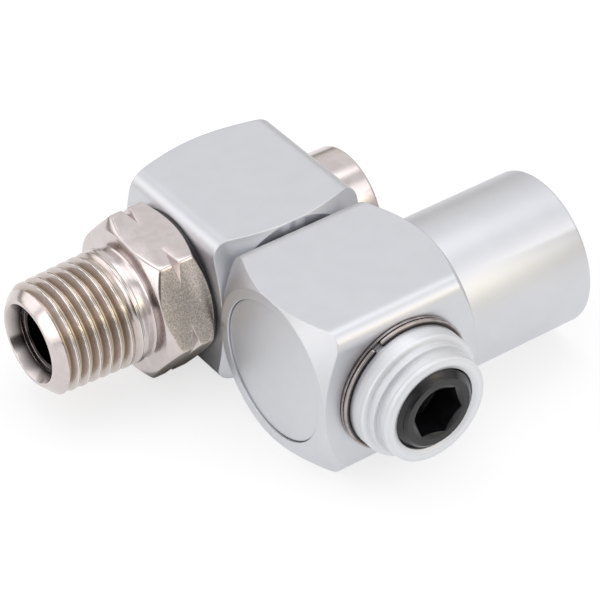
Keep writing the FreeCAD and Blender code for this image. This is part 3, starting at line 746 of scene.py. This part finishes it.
@dataclass
class PortThread:
    """The female thread inside the outlet tube: a thin shell whose inner side carries the ridge."""
    thread: ScrewThread = ScrewThread(tip_round=0.04)
    outside: float = 6.57
    valley: float = 6.50
    crest: float = 5.7225
    lead_in: float = 7.0785
    start: float = 0.6
    end: float = 12.9
    runout: float = 1.2
    stations: int = 170
    columns: int = 240

    def build(self) -> bpy.types.Object:
        """Radius is the valley less the thread's height, never inside the lead-in cone, filled in at the far end.

        Returns:
            The shell.
        """
        angle = np.linspace(0, FULL_TURN, self.columns, endpoint=False)
        place = np.linspace(self.start, self.end, self.stations)[:, None]
        height = self.thread.height(place, angle) / self.thread.depth
        filled = np.clip((place - self.end + 2 * self.runout) / self.runout, 0, 1)
        height = height + (1 - height) * filled
        radius = np.maximum(self.valley - height * (self.valley - self.crest), self.lead_in - place)
        places = np.vstack([np.broadcast_to(place, radius.shape), np.full(self.columns, self.end),
                            np.full(self.columns, self.start)])
        radii = np.vstack([radius, np.full((2, self.columns), self.outside)])
        return new_piece("port_thread", TurningFrame.inward(0.0, 0.0, 0.0).points(places, radii, angle),
                         grid_quads(len(places), self.columns, closed=True))


@dataclass
class OutletBlock:
    """Square block with the outlet tube and the pressed-in end disc."""
    port: PortThread = field(default_factory=PortThread)

    def dress(self, shelf: FinishShelf) -> None:
        """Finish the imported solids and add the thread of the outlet."""
        shelf.carried(Slot.ALUMINIUM, "outlet_block", "end_disc")
        shelf.made(self.port.build(), Slot.ALUMINIUM, Body.OUTLET)


@dataclass
class SnapRing:
    """Open ring with a rounded section, in the spindle's groove. Angles are in degrees."""
    opening: float = 5.5
    middle: float = 118.0
    inner: float = 7.0
    squareness: float = 0.7
    lit_share: float = 0.8
    tip: float = 2.5
    stations: int = 360
    columns: int = 28

    def build(self) -> bpy.types.Object:
        """Carry a rounded rectangle round the swivel's axis.

        The section is a superellipse: each half-width times the signed power of the cosine or sine. Both shrink to a
        point as a quarter circle at a tip.

        Returns:
            The ring.
        """
        low, high = box_in_mm("pivot_snap_ring")
        outer = (high[0] - low[0]) / 2
        start = math.radians(self.middle + self.opening / 2)
        turn = np.linspace(start, start + math.radians(360 - self.opening), self.stations)[:, None]
        from_end = np.degrees(np.minimum(turn - turn[0], turn[-1] - turn))
        tip = np.sqrt(1 - (1 - np.clip(from_end / self.tip, 0, 1)) ** 2)
        section = np.linspace(0, FULL_TURN, self.columns, endpoint=False)[None, :]
        sideways, lengthways = (np.sign(wave) * np.abs(wave) ** self.squareness
                                for wave in (np.cos(section), np.sin(section)))
        half_width = (outer - self.inner) / 2
        radius = self.inner + half_width + half_width * tip * sideways
        place = (high[1] - low[1]) / 2 * tip * lengthways
        points = TurningFrame.on_swivel((low[1] + high[1]) / 2).points(place, radius, turn)
        # Painted shade on the ring's sides that face the collar and the washer, outside the lit share of its section.
        inside = np.clip((np.abs(np.sin(section)) - self.lit_share) / (1 - self.lit_share), 0, 1)
        return new_piece("snap_ring", points, grid_quads(self.stations, self.columns, closed=False),
                         {"inside": np.broadcast_to(inside, radius.shape)})


@dataclass
class InletBlock:
    """Square block whose spindle turns in the outlet block, with the spindle's rings and seals."""
    snap_ring: SnapRing = field(default_factory=SnapRing)

    def dress(self, shelf: FinishShelf) -> None:
        """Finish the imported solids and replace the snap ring."""
        shelf.carried(Slot.ALUMINIUM, "inlet_block")
        shelf.carried(Slot.SPRING, "pivot_ring_washer")
        shelf.carried(Slot.WASHER, "pivot_thrust_washer")
        shelf.carried(Slot.RUBBER, "pivot_inner_o_ring", "pivot_outer_o_ring")
        shelf.carried(Slot.BACKUP, "pivot_inner_backup_ring", "pivot_outer_backup_ring")
        shelf.made(self.snap_ring.build(), Slot.SPRING, Body.INLET, "pivot_snap_ring")


@dataclass
class FlowScrew:
    """Threaded screw with a needle at its inner end and a hexagon socket in its face. Angles are in degrees.

    The core is the outline of needle, stem, nose and seal groove up to the thread, as places and radii.
    """
    thread: ScrewThread = ScrewThread(tip_round=0.04, pitch=1.0, flank_angle=60.0, cut=0.145)
    core: tuple[tuple[float, float], ...] = (
        (-2.0, 0.0), (-2.0, 1.2), (0.4, 3.6), (1.2, 3.6), (1.2, 2.2), (5.2, 2.2), (5.2, 4.1), (5.8, 4.1),
        (5.8, 3.1), (7.6, 3.1), (7.6, 4.1), (11.4, 4.1))
    core_reach: float = 0.1
    thread_radius: float = 4.9
    face_radius: float = 4.1
    bevel_length: float = 0.75
    socket_flats: float = 5.5
    socket_depth: float = 4.0
    socket_point: float = 0.5
    socket_turn: float = -12.9
    socket_bevel_radius: float = 3.3
    corner_half: float = 1.0
    mouth_reaches: tuple[float, ...] = (0.08, 0.05, 0.1)
    thread_stations: int = 70

    def build(self) -> bpy.types.Object:
        """The core, then the thread cut back by the face's bevel, then the six-sided socket to its point.

        Returns:
            The screw.
        """
        face = -box_in_mm("flow_screw")[0][1]
        angle = hexagon_angles(self.socket_turn, self.corner_half)
        columns = len(angle)
        core = eased(outline(self.core, columns), (self.core_reach,) * (len(self.core) - 2))
        place = np.linspace(self.core[-1][0], face, self.thread_stations)[:, None] + 0 * angle
        bevel = self.face_radius + (face - place) * (self.thread_radius - self.face_radius) / self.bevel_length
        ridge = self.thread_radius - self.thread.depth + self.thread.height(place, angle)
        thread = np.stack([place, np.minimum(ridge, bevel)], axis=-1)
        off_flat = (angle - math.radians(self.socket_turn)) % SIXTH_TURN - SIXTH_TURN / 2
        socket = self.socket_flats / 2 / np.cos(off_flat)
        floor = face - self.socket_depth
        mouth = [(face, self.face_radius), (face, self.socket_bevel_radius),
                 (face - (self.socket_bevel_radius - socket) / 2, socket), (floor, socket),
                 (floor - self.socket_point, 0)]
        rows = np.concatenate([core, thread[:-1], eased(outline(mouth, columns), self.mouth_reaches)])
        points = TurningFrame.on_swivel(0.0).points(rows[..., 0], rows[..., 1], angle)
        return new_piece("threaded_flow_screw", points, grid_quads(len(rows), columns, closed=False))

    def dress(self, shelf: FinishShelf) -> None:
        """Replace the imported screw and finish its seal."""
        shelf.carried(Slot.RUBBER, "flow_screw_o_ring")
        shelf.made(self.build(), Slot.BLACK_STEEL, Body.SCREW, "flow_screw")


@dataclass
class MaleAdaptor:
    """Hexagon with a taper-threaded spigot and an internal cone seat. Places run from its back face to its tip.

    The slopes are the length of a bevel or of the seat over its change of radius. The flat that faces the smooth
    angle keeps its plate, and the others are grainy. The reaches are those of the rounded corners, in their order.
    """
    tip: float = float(ADAPTOR_HIGH[0] - ADAPTOR_LOW[0])
    thread: ScrewThread = ScrewThread(tip_round=0.02)
    flats: float = 17.0
    corner_round: float = 0.5
    corner_angle: float = 9.0
    back_rim: float = 8.45
    front_rim: float = 8.4
    bevel_slope: float = math.tan(math.radians(37.0))
    groove_place: float = 3.14
    groove_radius: float = 8.75
    hexagon_length: float = 6.19
    neck_radius: float = 6.35
    neck_length: float = 1.2
    root_round: float = 0.5
    gauge_radius: float = 6.5785
    gauge_length: float = 6.0
    taper: float = 16.0
    thread_length: float = 9.65
    runout_start: float = 0.3
    runout_length: float = 2.3
    tip_bevel_length: float = 1.0
    tip_face_radius: float = 5.4
    lip_radius: float = 5.0
    lip_length: float = 0.35
    seat_rim: float = 4.65
    seat_floor: float = 3.85
    seat_slope: float = math.sqrt(3)
    seat_land: float = 0.5
    bore: float = 3.3
    smooth_angle: float = 99.0
    flat_fade: float = 0.05
    # Painted shade inside: it fades in over seat_shade below the seat's rim, and spares a band of land_shine round the
    # land.
    seat_shade: float = 0.35
    land_shine: float = 0.02
    stub_hole: float = 4.95
    stub_depth: float = 4.54
    recess: float = 5.9
    recess_depth: float = 1.04
    hexagon_reaches: tuple[float, ...] = (0.08, 0.12, 0.08, 0.12, 0.08, 0.3, 0.1)
    bore_reaches: tuple[float, ...] = (0.08, 0.06, 0.15, 0.05, 0.05, 0.1, 0.05, 0.05)
    thread_stations: int = 300

    @property
    def thread_start(self) -> float:
        """Where the neck ends."""
        return self.hexagon_length + self.neck_length

    @property
    def bevel_start(self) -> float:
        """Where the thread's length ends and the bevel at the tip starts."""
        return self.thread_start + self.thread_length

    @property
    def corner_centre(self) -> float:
        """Distance of the middle of a corner's round from the axis."""
        return (self.flats / 2 - self.corner_round) / math.cos(SIXTH_TURN / 2)

    @property
    def corner_half(self) -> float:
        """Half of the angle that a corner's round takes, in radians."""
        beyond = self.corner_centre + self.corner_round * math.cos(SIXTH_TURN / 2)
        return math.atan2(self.corner_round * math.sin(SIXTH_TURN / 2), beyond)

    def crest_radius(self, place: np.ndarray | float) -> np.ndarray | float:
        """Radius of the crest: the gauge radius plus half the way to the gauge's place over the taper."""
        return self.gauge_radius + (self.tip - place - self.gauge_length) / (2 * self.taper)

    @property
    def angle(self) -> np.ndarray:
        """Angles of the columns round the axis, in radians."""
        return hexagon_angles(self.corner_angle, math.degrees(self.corner_half))

    @property
    def rim(self) -> np.ndarray:
        """Distance of the hexagon's outline: half the flats over the cosine, and a circle round each corner.

        Returns:
            One distance for each column.
        """
        off_flat = (self.angle - math.radians(self.corner_angle)) % SIXTH_TURN - SIXTH_TURN / 2
        off_corner = SIXTH_TURN / 2 - np.abs(off_flat)
        inside = np.maximum(self.corner_round ** 2 - (self.corner_centre * np.sin(off_corner)) ** 2, 0)
        corner = self.corner_centre * np.cos(off_corner) + np.sqrt(inside)
        return np.where(off_corner < self.corner_half, corner, self.flats / 2 / np.cos(off_flat))

    def hexagon_rows(self) -> np.ndarray:
        """Stations over the hexagon, its two bevels, the groove across its corners and the neck.

        Returns:
            Stations by columns by two.
        """
        rim = self.rim
        back_bevel = np.maximum(rim - self.back_rim, 0) * self.bevel_slope
        front_bevel = np.maximum(rim - self.front_rim, 0) * self.bevel_slope
        groove_half = np.maximum(rim - self.groove_radius, 0) / 2
        rows = [(0, self.recess), (0, np.minimum(rim, self.back_rim)), (back_bevel, rim),
                (self.groove_place - groove_half, rim), (self.groove_place, np.minimum(rim, self.groove_radius)),
                (self.groove_place + groove_half, rim), (self.hexagon_length - front_bevel, rim),
                (self.hexagon_length, np.minimum(rim, self.front_rim)), (self.hexagon_length, self.neck_radius),
                (self.thread_start, self.neck_radius)]
        return eased(outline(rows, len(rim)), (*self.hexagon_reaches, self.root_round))

    def thread_rows(self) -> np.ndarray:
        """Stations over the thread, whose crest tapers, cut back by the bevel at the tip and shallow near the neck.

        Returns:
            Stations by columns by two.
        """
        end = self.bevel_start + self.tip_bevel_length
        place = np.linspace(self.thread_start, end, self.thread_stations)[:, None] + 0 * self.angle
        crest_at_bevel = self.crest_radius(self.bevel_start)
        slope = (crest_at_bevel - self.tip_face_radius) / self.tip_bevel_length
        bevel = crest_at_bevel - (place - self.bevel_start) * slope
        deepness = np.clip((place - self.thread_start - self.runout_start) / self.runout_length, 0, 1)
        ridge = self.crest_radius(place) - deepness * (self.thread.depth - self.thread.height(place, self.angle))
        return np.stack([place, np.minimum(ridge, np.maximum(bevel, self.tip_face_radius))], axis=-1)

    def bore_rows(self) -> np.ndarray:
        """Stations over the lip, the cone seat, the bore and the recess of the seal.

        Returns:
            Stations by columns by two.
        """
        floor = self.tip - (self.seat_rim - self.seat_floor) * self.seat_slope
        land = floor - self.seat_land
        rows = [(self.tip - self.lip_length, self.tip_face_radius), (self.tip, self.lip_radius),
                (self.tip, self.seat_rim), (floor, self.seat_floor), (land, self.seat_floor), (land, self.bore),
                (self.stub_depth, self.bore), (self.stub_depth, self.stub_hole),
                (self.recess_depth, self.stub_hole), (self.recess_depth, self.recess)]
        return eased(outline(rows, len(self.angle)), self.bore_reaches)

    def zones(self, rows: np.ndarray, hexagon: int, thread: int) -> dict[str, np.ndarray]:
        """What the finish reads: the thread, how deep a spot lies in it, the grainy flats and the painted shade inside
        the seat and the bore.

        Args:
            rows: All stations, with their places and radii.
            hexagon: Number of stations over the hexagon.
            thread: Number of stations over the thread, which come next.

        Returns:
            Numbers from 0 to 1 for each point.
        """
        place, radius = rows[..., 0], rows[..., 1]
        valley, flat, threaded = np.zeros((3, *radius.shape))
        off_smooth = np.abs((self.angle - math.radians(self.smooth_angle) + math.pi) % FULL_TURN - math.pi)
        outermost = np.clip(1 - (self.rim - radius[:hexagon]) / self.flat_fade, 0, 1)
        flat[:hexagon] = np.where(off_smooth > SIXTH_TURN / 2, outermost, 0)
        run = slice(hexagon, hexagon + thread)
        threaded[run] = place[run] < self.bevel_start
        # How deep a spot lies in the thread: it sets the painted shade of the valleys.
        sunk = np.clip((self.crest_radius(place[run]) - radius[run]) / self.thread.depth, 0, 1)
        valley[run] = sunk * threaded[run]
        # Painted shade inside the seat and the bore, fading in below the seat's rim; a narrow band round the land is
        # left without it.
        inside = np.clip((self.seat_rim - radius) / self.seat_shade, 0, 1)
        inside[np.abs(radius - self.seat_floor) < self.land_shine] = 0
        return {"valley": valley, "flat": flat, "inside": inside, "threaded": threaded}

    def build(self) -> bpy.types.Object:
        """Join the three runs of stations into one closed skin, with the zones that the finish reads.

        Returns:
            The adaptor.
        """
        hexagon, thread = self.hexagon_rows(), self.thread_rows()
        rows = np.concatenate([hexagon, thread, self.bore_rows()[1:]])
        _, y, z = (ADAPTOR_LOW + ADAPTOR_HIGH) / 2
        points = TurningFrame.inward(ADAPTOR_HIGH[0], y, z).points(rows[..., 0], rows[..., 1], self.angle)
        return new_piece("threaded_adaptor", points, grid_quads(*rows.shape[:2], closed=True),
                         self.zones(rows, len(hexagon), len(thread)))


@dataclass
class CrossPin:
    """Hollow pin across the inlet block with its head, washers, seals and the adaptor on its front end."""
    adaptor: MaleAdaptor = field(default_factory=MaleAdaptor)

    def dress(self, shelf: FinishShelf) -> None:
        """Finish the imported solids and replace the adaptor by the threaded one."""
        shelf.carried(Slot.NICKEL, "swivel_pin")
        shelf.carried(Slot.WASHER, "pin_front_washer", "pin_rear_washer")
        shelf.carried(Slot.RUBBER, "pin_front_o_ring", "pin_rear_o_ring", "adaptor_o_ring")
        shelf.carried(Slot.BACKUP, "pin_front_backup_ring", "pin_rear_backup_ring")
        shelf.made(self.adaptor.build(), Slot.NICKEL, Body.PIN, "male_adaptor")


# Studio


@dataclass(frozen=True)
class PhotoCamera:
    """Camera of the photograph: where it looks from and how long its lens is. Degrees and millimetres."""
    turn: float = -34.8313
    rise: float = 38.4515
    roll: float = -1.3549
    distance: float = 360.7255
    sideways: float = -5.1752
    upward: float = 3.813
    focal_pixels: float = 3361.14
    picture_pixels: int = 600
    sensor: float = 36.0
    clip: tuple[float, float] = (10.0, 20000.0)

    def build(self) -> None:
        """Place the camera by its distance from the swivel's centre and its turn, rise and roll."""
        turn, rise, roll = (math.radians(value) for value in (self.turn, self.rise, self.roll))
        right = Vector((math.cos(turn), math.sin(turn), 0.0))
        back = Vector((math.sin(turn) * math.cos(rise), -math.cos(turn) * math.cos(rise), math.sin(rise)))
        up = back.cross(right)
        right, up = (math.cos(roll) * right + math.sin(roll) * up,
                     math.cos(roll) * up - math.sin(roll) * right)
        spot = Vector((SWIVEL_X, 0.0, 0.0)) + self.sideways * right + self.upward * up + self.distance * back
        lens = bpy.data.cameras.new("photo_camera")
        lens.sensor_width = self.sensor
        lens.lens = self.focal_pixels * self.sensor / self.picture_pixels
        lens.clip_start, lens.clip_end = (limit * MM for limit in self.clip)
        camera = bpy.data.objects.new("photo_camera", lens)
        turned = Matrix((right, up, back)).transposed().to_4x4()
        camera.matrix_world = Matrix.Translation(spot * MM) @ turned
        bpy.context.scene.collection.objects.link(camera)
        bpy.context.scene.camera = camera


@dataclass(frozen=True)
class SoftLight:
    """Square soft light that looks at the object from a direction. Metres and watts."""
    name: str
    direction: Triple
    size: float
    power: float
    distance: float = 0.9

    def build(self) -> None:
        """Place the light along its direction, facing the object."""
        lamp = bpy.data.lights.new(self.name, "AREA")
        lamp.shape = "SQUARE"
        lamp.size = self.size
        lamp.energy = self.power
        light = bpy.data.objects.new(self.name, lamp)
        direction = Vector(self.direction).normalized()
        light.matrix_world = (Matrix.Translation(Vector(OBJECT_MIDDLE) * MM + direction * self.distance)
                              @ direction.to_track_quat("Z", "Y").to_matrix().to_4x4())
        bpy.context.scene.collection.objects.link(light)


@dataclass(frozen=True)
class SkyPatch:
    """Round patch of the surroundings with a soft rim: its direction, the angles of its rim and its colour."""
    direction: Triple
    inner: float
    outer: float
    colour: Colour


@dataclass
class Studio:
    """Pale floor, soft lights and the sky that the metal mirrors. Places on the floor are in millimetres.

    The floor glows, apart from an oval spot under the adaptor, which is a painted shadow. The lens sees the glow
    everywhere.
    """
    floor_size: float = 6000.0
    floor_gap: float = 0.02
    floor_colours: tuple[Colour, Colour] = ((0.30, 0.30, 0.305), (0.32, 0.32, 0.325))
    floor_mottle: float = 40.0
    floor_gloss_loss: float = 0.8
    floor_specular: float = 0.1
    floor_glow: float = 0.69
    shaded_spot: Triple = (-36.5, 15.5, -9.5)
    spot_stretch: Triple = (0.62, 1.0, 0.0)
    spot_rim: tuple[float, float] = (2.5, 5.5)
    sky: tuple[tuple[float, Colour], ...] = (
        (0.0, (0.9, 0.9, 0.9)), (0.5, (0.18, 0.17, 0.16)), (0.55, (0.26, 0.24, 0.22)), (0.61, (0.84, 0.80, 0.75)),
        (0.75, (0.935, 0.93, 0.945)), (0.86, (0.925, 0.92, 0.94)), (1.0, (0.66, 0.66, 0.675)))
    backdrop: Colour = (0.93, 0.93, 0.935)
    patches: tuple[SkyPatch, ...] = (
        SkyPatch((-0.50, -0.82, 0.22), 14.0, 33.0, (0.10, 0.10, 0.10)),
        SkyPatch((0.447, -0.89, 0.12), 6.0, 26.0, (0.98, 0.95, 0.88)),
        SkyPatch((0.447, -0.78, 0.42), 4.0, 15.0, (2.3, 2.05, 1.55)),
    )
    lights: tuple[SoftLight, ...] = (
        SoftLight("top_light", (0.1, 0.1, 1.0), 0.7, 2.0),
        SoftLight("front_right_light", (0.447, -0.62, 0.64), 0.5, 0.6),
        SoftLight("left_light", (-1.0, -0.1, 0.36), 0.6, 1.4),
        SoftLight("back_left_light", (-0.62, 0.64, 0.45), 0.6, 0.8),
    )

    def build(self) -> None:
        """Make the floor, the sky, the lights and the camera."""
        self.build_floor()
        self.build_sky()
        for light in self.lights:
            light.build()
        PhotoCamera().build()
        bpy.context.scene.view_settings.view_transform = "Standard"

    def build_floor(self) -> None:
        """Lay the floor just under the blocks.

        Its glow is the greater of two numbers: 1 for what the lens sees, and the rise over the rim of the spot.
        """
        height = box_in_mm("inlet_block")[0][2] - self.floor_gap
        sides = ((-1, -1), (1, -1), (1, 1), (-1, 1))
        corners = [(x * self.floor_size / 2 * MM, y * self.floor_size / 2 * MM, height * MM) for x, y in sides]
        mesh = bpy.data.meshes.new("floor")
        mesh.from_pydata(corners, [], [(0, 1, 2, 3)])
        floor = bpy.data.objects.new("floor", mesh)
        bpy.context.scene.collection.objects.link(floor)
        board = SurfaceBoard("pale_floor")
        # Painted shadow: for every ray except the lens's, the glow fades out in the oval spot under the adaptor.
        off_spot = board.vector("SUBTRACT", board.place, self.shaded_spot)
        off_spot = board.vector("LENGTH", board.vector("MULTIPLY", off_spot, self.spot_stretch))
        lit = board.math("MAXIMUM", board.seen_by_lens(), board.ramp(off_spot, *self.spot_rim))
        inputs = board.surface.inputs
        board.feed(inputs["Base Color"], board.mixed(board.noise(self.floor_mottle), *self.floor_colours))
        board.feed(inputs["Roughness"], self.floor_gloss_loss)
        board.feed(inputs["Specular IOR Level"], self.floor_specular)
        board.feed(inputs["Emission Color"], (1.0, 1.0, 1.0, 1.0))
        board.feed(inputs["Emission Strength"], board.math("MULTIPLY", lit, self.floor_glow))
        dressed(floor, board.material)

    def build_sky(self) -> None:
        """Colour the surroundings by height, from straight down at 0 to straight up at 1, with the patches over it.

        The metal mirrors these colours. Straight into the lens goes the even backdrop.
        """
        world = bpy.data.worlds.new("studio_sky")
        world.use_nodes = True
        board = NodeBoard(world.node_tree)
        direction = board.add("ShaderNodeTexCoord").outputs["Generated"]
        height = board.math("DIVIDE", board.math("ADD", board.split(direction)[2], 1.0), 2.0)
        colours = board.add("ShaderNodeValToRGB")
        board.feed(colours.inputs["Fac"], height)
        elements = colours.color_ramp.elements
        while len(elements) < len(self.sky):
            elements.new(0.5)
        for element, (place, colour) in zip(elements, self.sky):
            element.position = place
            element.color = (*colour, 1.0)
        colour = colours.outputs["Color"]
        for patch in self.patches:
            nearness = board.vector("DOT_PRODUCT", direction, Vector(patch.direction).normalized())
            rim = (math.cos(math.radians(angle)) for angle in (patch.outer, patch.inner))
            colour = board.mixed(board.ramp(nearness, *rim), colour, patch.colour)
        colour = board.mixed(board.seen_by_lens(), colour, self.backdrop)
        board.feed(board.tree.nodes["Background"].inputs["Color"], colour)
        bpy.context.scene.world = world


def main() -> None:
    """Dress each sub-assembly in turn, then set up the studio."""
    logging.basicConfig(level=logging.INFO, format="%(name)s: %(message)s")
    shelf = FinishShelf()
    for assembly in (OutletBlock(), InletBlock(), FlowScrew(), CrossPin()):
        assembly.dress(shelf)
    Studio().build()


if __name__ == "__main__":
    main()
